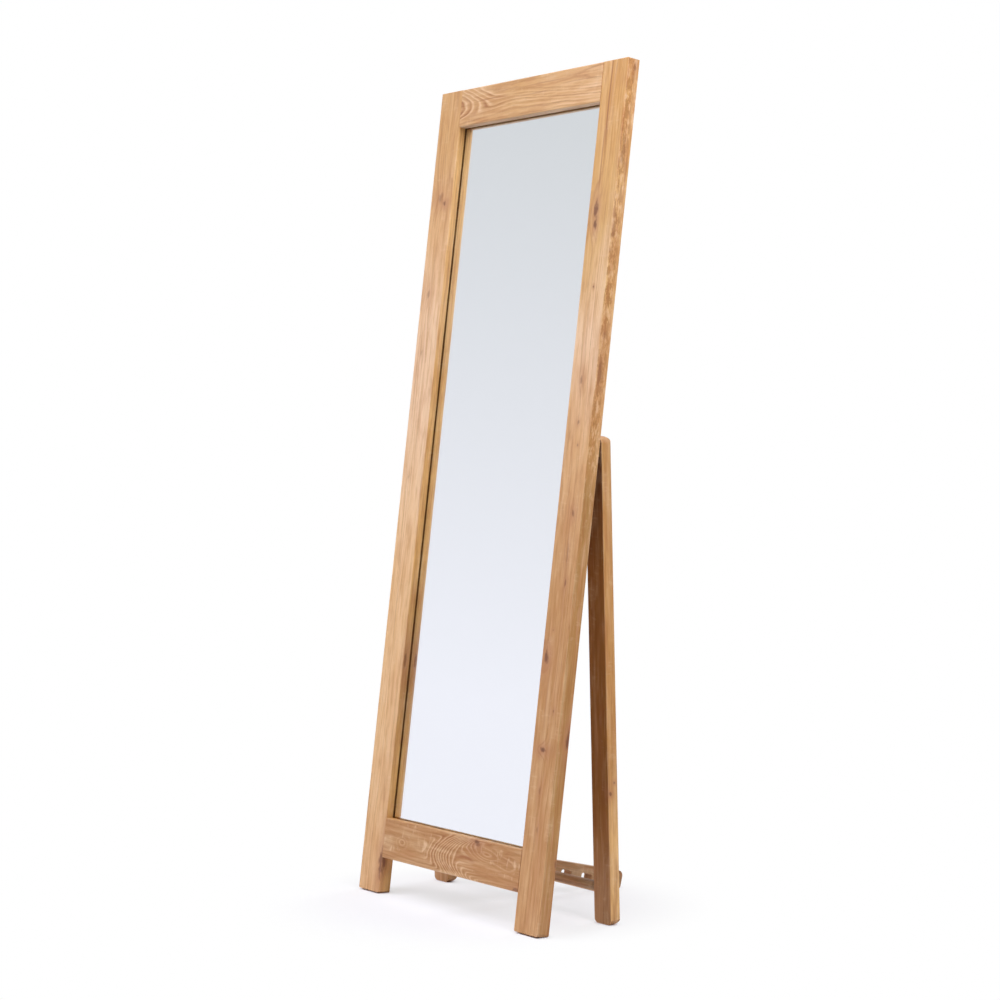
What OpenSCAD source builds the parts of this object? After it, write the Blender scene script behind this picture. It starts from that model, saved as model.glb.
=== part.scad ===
// Cheval mirror: a leaning oak frame on a folding rear stand, held open by a notched stay.
// The frame is drawn upright in its own coordinates and then leaned back.
// X runs to the right of someone facing the mirror, Y runs backwards and Z runs up.

/* [Frame] */
// Length of each stile, from its foot to the top of the frame
frame_len = 1601; // [1400:1:1750]
// Width of the frame over both stiles
frame_w = 591; // [480:1:680]
// Thickness of the frame boards
frame_t = 27; // [23:0.5:30]
// Width of each stile
stile_w = 72; // [62:1:85]
// Height of the top rail
top_rail_h = 74.5; // [60:0.5:95]
// Height of the bottom rail
bottom_rail_h = 79; // [70:1:95]
// Length of stile below the bottom rail
foot_h = 70; // [60:1:90]
// Lean of the frame from upright, in degrees
lean = 7.42; // [6.5:0.02:8.5]
// Softening radius of the long front edges
arris_r = 2.5; // [1:0.5:4]
// Softening radius of the back edges and of the stile ends seen from the side
back_r = 1.5; // [0.5:0.5:3]
// Corner radius at the lower end of a stile, seen from the front
foot_r = 6; // [3:0.5:10]
// Depth of the flat under each stile, on which the frame stands
foot_flat = 5; // [3:0.5:10]

/* [Joinery] */
// Length of the rail tenons
tenon_len = 40; // [25:1:55]
// Thickness of the rail tenons
tenon_t = 9; // [6:0.5:10]
// Set-in of a tenon past the rebate at its upper and lower shoulder
tenon_set = 3; // [2:0.5:6]
// Clearance round a tenon in its mortise
mortise_gap = 0.15; // [0.05:0.05:0.4]

/* [Mirror] */
// Width of the rebate that holds the glass, behind the frame's inner edge
rebate_w = 10; // [8:0.5:12]
// Thickness of the mirror glass
glass_t = 5; // [3:0.5:6]
// Space between the edge of the glass and the rebate
glass_play = 2; // [1:0.5:3]
// Thickness of the foam sheet behind the glass
foam_t = 3; // [1:0.5:4]
// Thickness of the backing board, flush with the back of the frame
board_t = 3.5; // [3:0.5:5]
// Clearance round the backing board in the rebate
board_gap = 0.5; // [0.2:0.1:1]
// Length of each rubber setting block
block_len = 30; // [20:1:60]
// Distance of the setting blocks from the corners of the glass
block_in = 120; // [60:5:180]

/* [Retaining clips] */
// Length of a clip
clip_len = 32; // [28:1:40]
// Width of a clip
clip_w = 12; // [10:0.5:16]
// Thickness of a clip
clip_t = 1.2; // [0.8:0.1:2]
// Corner radius of a clip
clip_corner_r = 3; // [1:0.5:4]
// Distance from the clip's outer end to its screw
clip_hole_in = 7; // [6:0.5:9]
// Distance that a clip reaches over the backing board
clip_reach = 14; // [10:0.5:18]
// Number of clips along each stile
side_clips = 5; // [2:1:7]
// Number of clips along each rail
rail_clips = 2; // [2:2:4]

/* [Hinges] */
// Radius of the hinge knuckles
knuckle_r = 4.2; // [3.8:0.1:5]
// Radius of the hinge pins
pin_r = 2; // [1.5:0.1:2.4]
// Clearance between a pin and its knuckles
pin_gap = 0.05; // [0.02:0.01:0.1]
// Clearance between a knuckle and the wood behind it
knuckle_stand = 0.35; // [0.3:0.05:0.8]
// Clearance between neighbouring knuckles
knuckle_gap = 0.4; // [0.3:0.05:0.8]
// Thickness of the hinge leaves
leaf_t = 2; // [1.5:0.1:2.4]
// Length of a leaf away from its pin
leaf_h = 26; // [20:1:32]
// Width of each stand hinge
stand_hinge_w = 38; // [30:1:42]
// Width of the stay hinge
stay_hinge_w = 20; // [14:1:22]
// Height of the stand hinges up the frame
stand_hinge_up = 900; // [820:5:960]
// Height of the stay hinge up the frame
stay_hinge_up = 132.4; // [126:0.2:136]

/* [Screws] */
// Shank radius of the hinge screws
screw_r = 1.6; // [1.2:0.1:2]
// Head radius of the hinge screws
screw_head_r = 3; // [2.6:0.1:3.6]
// Length of the hinge screws
screw_len = 14; // [10:1:16]
// Shank radius of the clip screws
clip_screw_r = 1.5; // [1.2:0.1:1.8]
// Head radius of the clip screws
clip_head_r = 3.2; // [2.8:0.1:4]
// Head height of the clip screws
clip_head_h = 1.5; // [1:0.1:2]
// Length of the clip screws
clip_screw_len = 12; // [8:1:14]
// Clearance between a screw and its hole
screw_gap = 0.1; // [0.05:0.05:0.2]

/* [Rear stand] */
// Angle between the frame and the open stand, in degrees
spread = 9.06; // [8.8:0.02:10.4]
// Width of a rear leg
leg_w = 49.5; // [40:0.5:55]
// Distance of a leg's outer side from the frame's outer side
leg_inset = 9; // [4:0.5:14]
// Thickness of a rear leg
leg_t = 23; // [22:0.5:28]
// Height of a rear leg above its hinge pin
leg_over = 12; // [8:1:16]
// Corner radius of the leg ends, seen from the front
leg_end_r = 14; // [4:0.5:16]
// Corner radius of the leg ends at the back, seen from the side
leg_back_r = 13; // [6:0.5:16]
// Softening radius of the leg's long edges
leg_arris_r = 2.5; // [1:0.5:4]
// Diameter of the cross dowel
dowel_d = 20; // [16:0.5:21]
// Height of the cross dowel above the floor
dowel_up = 65; // [60:1:80]
// Depth of the dowel's sockets in the legs
dowel_in = 18; // [10:1:25]
// Clearance round the dowel in its sockets
dowel_gap = 0.05; // [0.02:0.01:0.15]

/* [Stay] */
// Thickness of the stay from side to side
stay_t = 24; // [18:1:30]
// Depth of the stay from its top edge to its underside
stay_d = 34; // [30:0.5:36]
// Wood left above each notch
notch_roof = 16; // [13:0.5:17]
// Width of each notch
notch_w = 26; // [24:0.5:30]
// Distance from notch to notch
notch_pitch = 52; // [48:0.5:58]
// Number of notches
notch_n = 5; // [3:1:5]
// Radius at the mouth of each notch
mouth_r = 7; // [5:0.5:9]
// Radius in the upper corners of each notch
notch_r = 4; // [2:0.5:6]
// Wood left behind the last notch
stay_tail = 26; // [22:0.5:34]
// Radius at the top of the stay's rear end
tail_r = 11; // [5:0.5:13]
// Distance from the stay hinge pin to the front end of the stay
stay_set = 3.5; // [3.2:0.1:5]
// Clearance between the dowel and the notch it stands in
seat_gap = 0.3; // [0.25:0.05:0.5]

/* [Hidden] */
$fn = 64;
over = 1; // how far a cutting shape runs past what it cuts

// Frame
lip_t = frame_t - glass_t - foam_t - board_t;
rail_len = frame_w - 2 * stile_w;
inner_x = frame_w / 2 - stile_w;
leg_x = frame_w / 2 - leg_inset - leg_w / 2;
foot_drop = foot_flat * tan(lean);
opening_low = foot_h + bottom_rail_h;
opening_high = frame_len - top_rail_h;
rebate_low = opening_low - rebate_w;
rebate_high = opening_high + rebate_w;
rebate_x = inner_x + rebate_w;
tenon_shoulder = rebate_w + tenon_set;
tenon_y = -frame_t / 2;

// Glass
glass_x = rebate_x - glass_play;
glass_low = rebate_low + glass_play;
glass_high = rebate_high - glass_play;
glass_front = -frame_t + lip_t;
foam_front = glass_front + glass_t;
board_front = foam_front + foam_t;

// Clips, measured from the edge of the rebate
clip_hole_x = clip_reach - clip_len + clip_hole_in;
clip_dome_r = 1.5 * clip_head_r;

// Hinges
axis_off = knuckle_r + knuckle_stand;
pin_head_r = pin_r + 1;
pin_head_h = 1;
screw_head_h = screw_head_r - screw_r;
leaf_screw_down = leaf_h * 0.6;
stand_screw_x = stand_hinge_w / 2 - 2 * screw_head_r;
stay_screw_x = stay_hinge_w / 2 - 1.5 * screw_head_r;
slot_w = 0.9;
slot_d = 1;

// A point given in a plane turned by ang about the X axis, as [y, z] about the point at
function turned(at, ang, p) = [
    at[0] + p[0] * cos(ang) - p[1] * sin(ang),
    at[1] + p[0] * sin(ang) + p[1] * cos(ang)
];

// Places in side view, as [y, z], with the stile's standing edge near the floor's origin
frame_at = [0, -foot_drop];
stand_axis = turned(frame_at, -lean, [axis_off, stand_hinge_up]);
stay_axis = turned(frame_at, -lean, [axis_off, stay_hinge_up]);
tilt = spread - lean;
leg_mid = axis_off + leg_t / 2;
leg_down = (stand_axis[1] + (axis_off + leg_t) * sin(tilt)) / cos(tilt);
dowel_down = (stand_axis[1] + leg_mid * sin(tilt) - dowel_up) / cos(tilt);
dowel_at = turned(stand_axis, tilt, [leg_mid, -dowel_down]);
dowel_r = dowel_d / 2;
dowel_half = leg_x - leg_w / 2 + dowel_in;

// The stay hangs from its pin and seats on the dowel with its first notch
stay_top = axis_off;
seat_v = stay_top + notch_roof + seat_gap + dowel_r;
seat_run = norm(dowel_at - stay_axis);
seat_u = sqrt(seat_run * seat_run - seat_v * seat_v);
stay_fall = atan2(stay_axis[1] - dowel_at[1], dowel_at[0] - stay_axis[0]);
stay_slope = stay_fall - atan2(seat_v, seat_u);
notch_back = seat_u + dowel_r + seat_gap;
stay_end = notch_back + (notch_n - 1) * notch_pitch + stay_tail;

// The origin is under the middle of the whole object
tail_mid = turned(stay_axis, -stay_slope, [stay_end - tail_r, -stay_top - tail_r]);
y_back = tail_mid[0] + tail_r;
y_front = turned(frame_at, -lean, [-frame_t, 0])[0];
y_mid = (y_front + y_back) / 2;

// Colours
oak = [0.83, 0.66, 0.48];
oak_side = [0.76, 0.57, 0.38];
oak_shade = [0.68, 0.49, 0.31];
silvered = [0.88, 0.9, 0.93];
brass = [0.72, 0.6, 0.34];
zinc = [0.68, 0.69, 0.7];
rubber = [0.12, 0.12, 0.12];
foam = [0.9, 0.9, 0.88];
board_brown = [0.42, 0.29, 0.19];

// Rectangle from the origin with radii at [lower left, lower right, upper right, upper left]
module eased_rect(w, h, r) {
    corner = [[0, 0], [w, 0], [w, h], [0, h]];
    difference() {
        square([w, h]);
        for (i = [0:3])
            translate(corner[i])
                rotate(90 * i)
                    difference() {
                        translate([-over, -over]) square(r[i] + over);
                        translate([r[i], r[i]]) circle(r[i]);
                    }
    }
}

// A board from x 0, y -t to 0 and z 0: eased in plan, in front view and in side view
module eased_board(w, t, h, plan, front, side) {
    intersection() {
        translate([0, -t, 0]) linear_extrude(h) eased_rect(w, t, plan);
        translate([0, over, 0])
            rotate([90, 0, 0]) linear_extrude(t + 2 * over) eased_rect(w, h, front);
        translate([-over, -t, 0])
            rotate([90, 0, 90]) linear_extrude(w + 2 * over) eased_rect(t, h, side);
    }
}

// Cylinder along X, centred on the origin
module x_rod(r, len) {
    rotate([0, 90, 0]) cylinder(r = r, h = len, center = true);
}

// Everything below the floor, for cutting feet level
module below_floor() {
    translate([-frame_w, -frame_len / 2, -frame_len]) cube([2 * frame_w, frame_len, frame_len]);
}

module centred() {
    translate([0, -y_mid, 0]) children();
}

module on_frame() {
    translate([0, frame_at[0], frame_at[1]]) rotate([-lean, 0, 0]) children();
}

module on_stand() {
    translate([0, stand_axis[0], stand_axis[1]]) rotate([tilt, 0, 0]) children();
}

// Y runs along the stay from its pin and Z runs square to it, upwards
module on_stay() {
    translate([0, stay_axis[0], stay_axis[1]]) rotate([-stay_slope, 0, 0]) children();
}

module both_sides() {
    children();
    mirror([1, 0, 0]) children();
}

// Countersunk screw in the wood behind y 0, its head flush at y 0, driven towards -Y
module hinge_screw() {
    difference() {
        rotate([90, 0, 0]) union() {
            cylinder(r1 = screw_head_r, r2 = screw_r, h = screw_head_h);
            cylinder(r = screw_r, h = screw_len);
        }
        for (a = [0, 90])
            rotate([0, a, 0]) cube([2 * screw_r, 2 * slot_d, slot_w], center = true);
    }
}

// Hole for a hinge screw: through the leaf with its countersink, and into the wood
module hinge_screw_hole() {
    r = screw_r + screw_gap;
    head = screw_head_r + screw_gap;
    rotate([90, 0, 0]) cylinder(r1 = head, r2 = r, h = head - r);
    translate([0, over, 0]) rotate([90, 0, 0]) cylinder(r = r, h = screw_len + screw_gap + over);
}

// Screw places on a leaf, with the leaf's face at y 0 and its pin at z 0
module at_screws(xs) {
    for (x = xs) translate([x, 0, -leaf_screw_down]) children();
}

// Leaf of a butt hinge. The pin lies on the X axis, the leaf's back is at y -axis_off
// and the leaf runs down from the pin. It owns every second knuckle, from the one named first.
module hinge_leaf(w, knuckles, first, xs) {
    step = w / knuckles;
    difference() {
        union() {
            translate([-w / 2, -axis_off, -leaf_h])
                cube([w, leaf_t, leaf_h - knuckle_r - knuckle_gap]);
            for (i = [first:2:knuckles - 1])
                translate([-w / 2 + (i + 0.5) * step, 0, 0]) {
                    x_rod(knuckle_r, step - knuckle_gap);
                    translate([-(step - knuckle_gap) / 2, -axis_off, -leaf_h / 2])
                        cube([step - knuckle_gap, leaf_t, leaf_h / 2]);
                }
        }
        x_rod(pin_r + pin_gap, w + 2 * over);
        translate([0, leaf_t - axis_off, 0]) at_screws(xs) hinge_screw_hole();
    }
}

// Hinge pin with a flat head at each end
module hinge_pin(w) {
    x_rod(pin_r, w + 2 * pin_head_h);
    for (s = [-1, 1])
        translate([s * (w + pin_head_h) / 2, 0, 0]) x_rod(pin_head_r, pin_head_h);
}

stand_screws = [-stand_screw_x, 0, stand_screw_x];
stay_screws = [-stay_screw_x, stay_screw_x];

// Screw places with their faces at y 0, for the two leaves of each hinge
module stand_frame_screw_places() {
    for (s = [-1, 1])
        translate([s * leg_x, leaf_t, stand_hinge_up]) at_screws(stand_screws) children();
}

module stay_rail_screw_places() {
    translate([0, leaf_t, stay_hinge_up]) at_screws(stay_screws) children();
}

// The leaf on a leg faces the frame, so it is the frame's leaf turned about Z
module stand_leg_screw_places() {
    for (s = [-1, 1])
        translate([s * leg_x, axis_off - leaf_t, 0])
            rotate([0, 0, 180]) at_screws(stand_screws) children();
}

// The leaf on the stay lies on its top edge and runs back from the pin
module stay_bar_screw_places() {
    rotate([90, 0, 0])
        translate([0, leaf_t - axis_off, 0]) at_screws(stay_screws) children();
}

// Places of the retaining clips, with the edge of the rebate along y 0 of a flat layout:
// each child is drawn with the board towards +X and the frame's back at y 0
module clip_places() {
    for (s = [0:side_clips - 1])
        both_sides()
            translate([-rebate_x, 0, rebate_low + (s + 0.5) * (rebate_high - rebate_low) / side_clips])
                children();
    for (s = [0:rail_clips - 1], low = [true, false])
        translate([(s + 0.5) * 2 * rebate_x / rail_clips - rebate_x, 0, low ? rebate_low : rebate_high])
            rotate([0, low ? -90 : 90, 0])
                children();
}

module clip() {
    c = clip_corner_r;
    rotate([90, 0, 0]) translate([0, 0, -clip_t]) linear_extrude(clip_t) difference() {
        translate([clip_reach - clip_len, -clip_w / 2]) eased_rect(clip_len, clip_w, [c, c, c, c]);
        translate([clip_hole_x, 0]) circle(clip_screw_r + screw_gap);
    }
}

module clip_screw() {
    translate([clip_hole_x, clip_t, 0]) difference() {
        union() {
            rotate([-90, 0, 0]) rotate_extrude() intersection() {
                translate([0, clip_head_h - clip_dome_r]) circle(clip_dome_r);
                square([clip_head_r, clip_head_h]);
            }
            rotate([90, 0, 0]) cylinder(r = clip_screw_r, h = clip_screw_len);
        }
        for (a = [0, 90])
            rotate([0, a, 0]) translate([0, clip_head_h, 0])
                cube([2 * clip_screw_r, slot_d, slot_w], center = true);
    }
}

module clip_screw_bore() {
    translate([clip_hole_x, over, 0]) rotate([90, 0, 0])
        cylinder(r = clip_screw_r + screw_gap, h = clip_screw_len - clip_t + screw_gap + over);
}

// Mortise in the left stile for the rail whose lower edge is at low
module mortise(low, h) {
    g = mortise_gap;
    translate([-inner_x - tenon_len - g, tenon_y - tenon_t / 2 - g, low + tenon_shoulder - g])
        cube([tenon_len + g + over, tenon_t + 2 * g, h - 2 * tenon_shoulder + 2 * g]);
}

module rebate_block() {
    translate([-rebate_x, -frame_t + lip_t, rebate_low])
        cube([2 * rebate_x, frame_t, rebate_high - rebate_low]);
}

// Left stile in frame coordinates; the right one is its mirror image
module stile() {
    e = arris_r;
    b = back_r;
    f = foot_r;
    difference() {
        translate([-frame_w / 2, 0, 0])
            eased_board(stile_w, frame_t, frame_len, [e, e, b, b], [f, f, e, e], [b, b, b, b]);
        mortise(foot_h, bottom_rail_h);
        mortise(frame_len - top_rail_h, top_rail_h);
        rebate_block();
        clip_places() clip_screw_bore();
        stand_frame_screw_places() hinge_screw_hole();
    }
}

// A rail between the stiles, with its lower edge at low and a tenon at each end
module rail(low, h, side) {
    tenon_h = h - 2 * tenon_shoulder;
    difference() {
        union() {
            translate([-rail_len / 2, -frame_t, low])
                rotate([90, 0, 90]) linear_extrude(rail_len) eased_rect(frame_t, h, side);
            translate([-rail_len / 2 - tenon_len, tenon_y - tenon_t / 2, low + tenon_shoulder])
                cube([rail_len + 2 * tenon_len, tenon_t, tenon_h]);
        }
        rebate_block();
        clip_places() clip_screw_bore();
        stay_rail_screw_places() hinge_screw_hole();
    }
}

module left_stile() {
    color(oak) centred() difference() {
        on_frame() stile();
        below_floor();
    }
}

module right_stile() {
    mirror([1, 0, 0]) left_stile();
}

module top_rail() {
    color(oak) centred() on_frame()
        rail(opening_high, top_rail_h, [arris_r, back_r, back_r, arris_r]);
}

module bottom_rail() {
    color(oak_side) centred() on_frame()
        rail(foot_h, bottom_rail_h, [arris_r, back_r, back_r, arris_r]);
}

// A sheet in the rebate, gap clear of its edges
module sheet(front, t, gap) {
    translate([gap - rebate_x, front, rebate_low + gap])
        cube([2 * (rebate_x - gap), t, rebate_high - rebate_low - 2 * gap]);
}

module mirror_glass() {
    color(silvered) centred() on_frame() sheet(glass_front, glass_t, glass_play);
}

module foam_sheet() {
    color(foam) centred() on_frame() sheet(foam_front, foam_t, glass_play);
}

module backing_board() {
    color(board_brown) centred() on_frame() sheet(board_front, board_t, board_gap);
}

// Rubber blocks fill the play round the glass, two along each edge
module setting_blocks() {
    color(rubber) centred() on_frame() {
        for (s = [-1, 1], low = [rebate_low, glass_high])
            translate([s * (glass_x - block_in) - block_len / 2, glass_front, low])
                cube([block_len, glass_t, glass_play]);
        for (x = [-rebate_x, glass_x], z = [glass_low + block_in, glass_high - block_in])
            translate([x, glass_front, z - block_len / 2])
                cube([glass_play, glass_t, block_len]);
    }
}

module retaining_clips() {
    color(zinc) centred() on_frame() clip_places() clip();
}

module clip_screws() {
    color(zinc) centred() on_frame() clip_places() clip_screw();
}

module stand_hinge_frame_leaf(s) {
    color(brass) centred() on_frame() translate([s * leg_x, axis_off, stand_hinge_up])
        hinge_leaf(stand_hinge_w, 5, 0, stand_screws);
}

module left_hinge_frame_leaf() {
    stand_hinge_frame_leaf(-1);
}

module right_hinge_frame_leaf() {
    stand_hinge_frame_leaf(1);
}

module stand_hinge_pin(s) {
    color(zinc) centred() on_frame() translate([s * leg_x, axis_off, stand_hinge_up])
        hinge_pin(stand_hinge_w);
}

module left_hinge_pin() {
    stand_hinge_pin(-1);
}

module right_hinge_pin() {
    stand_hinge_pin(1);
}

module stand_hinge_frame_screws() {
    color(brass) centred() on_frame() stand_frame_screw_places() hinge_screw();
}

module stay_hinge_rail_leaf() {
    color(brass) centred() on_frame() translate([0, axis_off, stay_hinge_up])
        hinge_leaf(stay_hinge_w, 3, 0, stay_screws);
}

module stay_hinge_pin() {
    color(zinc) centred() on_frame() translate([0, axis_off, stay_hinge_up])
        hinge_pin(stay_hinge_w);
}

module stay_hinge_rail_screws() {
    color(brass) centred() on_frame() stay_rail_screw_places() hinge_screw();
}

// Rear leg about the hinge pin, with its front face towards the frame
module leg() {
    e = leg_arris_r;
    b = leg_back_r;
    f = leg_end_r;
    difference() {
        translate([-leg_w / 2, axis_off + leg_t, -leg_down])
            eased_board(leg_w, leg_t, leg_down + leg_over, [e, e, e, e], [f, f, f, f], [e, b, b, e]);
        translate([-dowel_in, leg_mid, -dowel_down])
            x_rod(dowel_r + dowel_gap, leg_w);
    }
}

module right_leg() {
    color(oak_side) centred() difference() {
        on_stand() difference() {
            translate([leg_x, 0, 0]) leg();
            stand_leg_screw_places() hinge_screw_hole();
        }
        below_floor();
    }
}

module left_leg() {
    mirror([1, 0, 0]) right_leg();
}

module cross_dowel() {
    color(oak_shade) centred() on_stand() translate([0, leg_mid, -dowel_down])
        x_rod(dowel_r, 2 * dowel_half);
}

module stand_hinge_leg_leaf(s) {
    color(brass) centred() on_stand() translate([s * leg_x, 0, 0])
        rotate([0, 0, 180]) hinge_leaf(stand_hinge_w, 5, 1, stand_screws);
}

module left_hinge_leg_leaf() {
    stand_hinge_leg_leaf(-1);
}

module right_hinge_leg_leaf() {
    stand_hinge_leg_leaf(1);
}

module stand_hinge_leg_screws() {
    color(brass) centred() on_stand() stand_leg_screw_places() hinge_screw();
}

// Space of one notch below the stay, from its back wall at x 0, with rounded corners and mouth
module notch_cut() {
    h = stay_d - notch_roof;
    translate([-notch_w, 0]) eased_rect(notch_w, h + over, [0, 0, notch_r, notch_r]);
    difference() {
        translate([-notch_w - mouth_r, 0]) square([notch_w + 2 * mouth_r, mouth_r + over]);
        for (x = [-notch_w - mouth_r, mouth_r])
            translate([x, mouth_r + over]) circle(mouth_r);
        translate([-notch_w - 2 * mouth_r, mouth_r + over]) square([notch_w + 4 * mouth_r, mouth_r]);
    }
}

// Side outline of the stay, from its front lower corner
module stay_outline() {
    difference() {
        eased_rect(stay_end - stay_set, stay_d, [back_r, arris_r, tail_r, back_r]);
        for (i = [0:notch_n - 1])
            translate([notch_back - stay_set + i * notch_pitch, -over]) notch_cut();
    }
}

module notched_stay() {
    color(oak_side) centred() on_stay() difference() {
        translate([-stay_t / 2, stay_set, -stay_top - stay_d])
            rotate([90, 0, 90]) linear_extrude(stay_t) stay_outline();
        stay_bar_screw_places() hinge_screw_hole();
    }
}

module stay_hinge_bar_leaf() {
    color(brass) centred() on_stay() rotate([90, 0, 0])
        hinge_leaf(stay_hinge_w, 3, 1, stay_screws);
}

module stay_hinge_bar_screws() {
    color(brass) centred() on_stay() stay_bar_screw_places() hinge_screw();
}

left_stile();
right_stile();
top_rail();
bottom_rail();
mirror_glass();
setting_blocks();
foam_sheet();
backing_board();
retaining_clips();
clip_screws();
left_hinge_frame_leaf();
right_hinge_frame_leaf();
left_hinge_pin();
right_hinge_pin();
stand_hinge_frame_screws();
stay_hinge_rail_leaf();
stay_hinge_pin();
stay_hinge_rail_screws();
left_leg();
right_leg();
cross_dowel();
left_hinge_leg_leaf();
right_hinge_leg_leaf();
stand_hinge_leg_screws();
notched_stay();
stay_hinge_bar_leaf();
stay_hinge_bar_screws();
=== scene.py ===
"""Cheval mirror: oak boards, silvered glass and the fittings behind them, in a white studio."""

import math

import bmesh
import bpy
import numpy as np
from mathutils import Matrix, Vector


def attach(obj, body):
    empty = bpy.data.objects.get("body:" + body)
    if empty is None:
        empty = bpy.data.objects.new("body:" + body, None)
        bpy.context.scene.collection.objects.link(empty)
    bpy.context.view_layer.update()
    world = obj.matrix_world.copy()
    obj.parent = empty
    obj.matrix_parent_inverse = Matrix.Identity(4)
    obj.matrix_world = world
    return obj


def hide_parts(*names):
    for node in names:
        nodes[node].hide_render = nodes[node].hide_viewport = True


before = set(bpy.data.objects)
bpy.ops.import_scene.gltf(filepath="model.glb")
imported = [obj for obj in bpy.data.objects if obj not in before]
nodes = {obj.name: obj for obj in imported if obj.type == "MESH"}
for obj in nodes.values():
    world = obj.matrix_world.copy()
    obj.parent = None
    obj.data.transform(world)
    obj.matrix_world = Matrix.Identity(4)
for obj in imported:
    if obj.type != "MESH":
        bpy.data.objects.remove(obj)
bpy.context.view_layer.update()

MM = 0.001

# Shader maths

# How far a seed moves a noise along each axis
SEED_STEP = (1.0, 1.7, 0.6)


class Value:
    """A socket in a node tree. Ordinary maths on it adds Math nodes."""

    def __init__(self, tree, socket):
        self.tree = tree
        self.socket = socket

    def node(self, kind, settings=None, inputs=None, out=0):
        """Adds a node, with its settings set before its sockets, and returns one of its outputs.

        The output is given by its number or name, and "all" gives every one of them.
        """
        made = self.tree.nodes.new(kind)
        for key, setting in (settings or {}).items():
            if key == "stops":
                set_stops(made.color_ramp, setting)
            else:
                setattr(made, key, setting)
        for key, given in (inputs or {}).items():
            socket = [s for s in made.inputs if s.enabled and key in (s.name, s.identifier)][0]
            if isinstance(given, Value):
                self.tree.links.new(given.socket, socket)
            else:
                socket.default_value = given
        outputs = [Value(self.tree, s) for s in made.outputs if s.enabled]
        if out == "all" or not outputs:
            return outputs
        return outputs[out] if isinstance(out, int) else Value(self.tree, made.outputs[out])

    def maths(self, operation, *given):
        """A Math node on one or two values or numbers."""
        inputs = dict(zip(("Value", "Value_001"), given))
        return self.node("ShaderNodeMath", {"operation": operation}, inputs)

    def __add__(self, other):
        return self.maths("ADD", self, other)

    def __radd__(self, other):
        return self.maths("ADD", other, self)

    def __sub__(self, other):
        return self.maths("SUBTRACT", self, other)

    def __rsub__(self, other):
        return self.maths("SUBTRACT", other, self)

    def __mul__(self, other):
        return self.maths("MULTIPLY", self, other)

    def __rmul__(self, other):
        return self.maths("MULTIPLY", other, self)

    def __truediv__(self, other):
        return self.maths("DIVIDE", self, other)

    def __rtruediv__(self, other):
        return self.maths("DIVIDE", other, self)

    def __pow__(self, other):
        return self.maths("POWER", self, other)

    def __rpow__(self, other):
        return self.maths("POWER", other, self)

    def absolute(self):
        return self.maths("ABSOLUTE", self)

    def least(self, other):
        return self.maths("MINIMUM", self, other)

    def most(self, other):
        return self.maths("MAXIMUM", self, other)

    def part(self):
        """What is left after the whole number."""
        return self.maths("FRACT", self)

    def whole(self):
        return self.maths("FLOOR", self)

    def bell(self):
        """Falls smoothly from 1 where the value is 0."""
        return math.e ** (self * self * -1)

    def smooth(self, low, high):
        """Rises smoothly from 0 at low to 1 at high, or falls where low is the larger."""
        return self.node(
            "ShaderNodeMapRange",
            {"interpolation_type": "SMOOTHSTEP"},
            {"Value": self, "From Min": low, "From Max": high},
        )

    def axes(self):
        """The three numbers of a vector."""
        return self.node("ShaderNodeSeparateXYZ", {}, {"Vector": self}, "all")

    def between(self, first, second):
        """A colour between two. This value is the share of the second, from 0 to 1."""
        return self.node(
            "ShaderNodeMix", {"data_type": "RGBA"}, {"Factor": self, "A": first, "B": second}
        )

    def between_surfaces(self, first, second):
        """A surface between two. This value is the share of the second, from 0 to 1."""
        return self.node(
            "ShaderNodeMixShader", {}, {"Fac": self, "Shader": first, "Shader_001": second}
        )

    def tint(self, over, share):
        """This colour, with another laid over it by a share from 0 to 1."""
        return share.between(self, over)

    def stained(self, stain, share):
        """This colour, darkened by a stain by a share from 0 to 1."""
        return self.node(
            "ShaderNodeMix",
            {"data_type": "RGBA", "blend_type": "MULTIPLY"},
            {"Factor": share, "A": self, "B": stain},
        )

    def ramp(self, stops):
        """A colour that changes with this value, by stops of (value, colour)."""
        return self.node("ShaderNodeValToRGB", {"stops": stops}, {"Fac": self})

    def noise(self, scale, detail, rough, seed, out=0):
        """Noise at this place, with scale as cycles per metre along each axis."""
        shift = tuple(seed * step for step in SEED_STEP)
        place = self.node(
            "ShaderNodeMapping", {}, {"Vector": self, "Scale": scale, "Location": shift}
        )
        return self.node(
            "ShaderNodeTexNoise",
            {},
            {"Vector": place, "Scale": 1.0, "Detail": detail, "Roughness": rough},
            out,
        )


def set_stops(ramp, stops):
    """Gives a colour ramp its stops, as (position, colour)."""
    while len(ramp.elements) < len(stops):
        ramp.elements.new(1.0)
    for element, (position, colour) in zip(ramp.elements, stops):
        element.position = position
        element.color = colour


def rgb(red, green, blue):
    return (red, green, blue, 1.0)


def even(cycles):
    """A noise scale that is the same along every axis."""
    return (cycles, cycles, cycles)


def new_material(name):
    """An empty material and the place on the piece, from which its pattern is worked out."""
    material = bpy.data.materials.new(name)
    material.use_nodes = True
    tree = material.node_tree
    tree.nodes.clear()
    place = Value(tree, None).node("ShaderNodeTexCoord", {}, {}, "Object")
    return material, place


def finish_material(place, sockets):
    """Joins a surface with these values on its sockets to the material's output."""
    shader = place.node("ShaderNodeBsdfPrincipled", {}, sockets)
    place.node("ShaderNodeOutputMaterial", {}, {"Surface": shader})


def bumped(place, height, distance):
    return place.node(
        "ShaderNodeBump", {}, {"Height": height, "Distance": distance, "Strength": 1.0}
    )


# Objects and boards


def add_object(name, data):
    """Puts an object in the scene, at the origin."""
    made = bpy.data.objects.new(name, data)
    bpy.context.scene.collection.objects.link(made)
    return made


def add_mesh(name, mesh):
    """Puts a finished shape in the scene."""
    data = bpy.data.meshes.new(name)
    mesh.to_mesh(data)
    mesh.free()
    return add_object(name, data)


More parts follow.
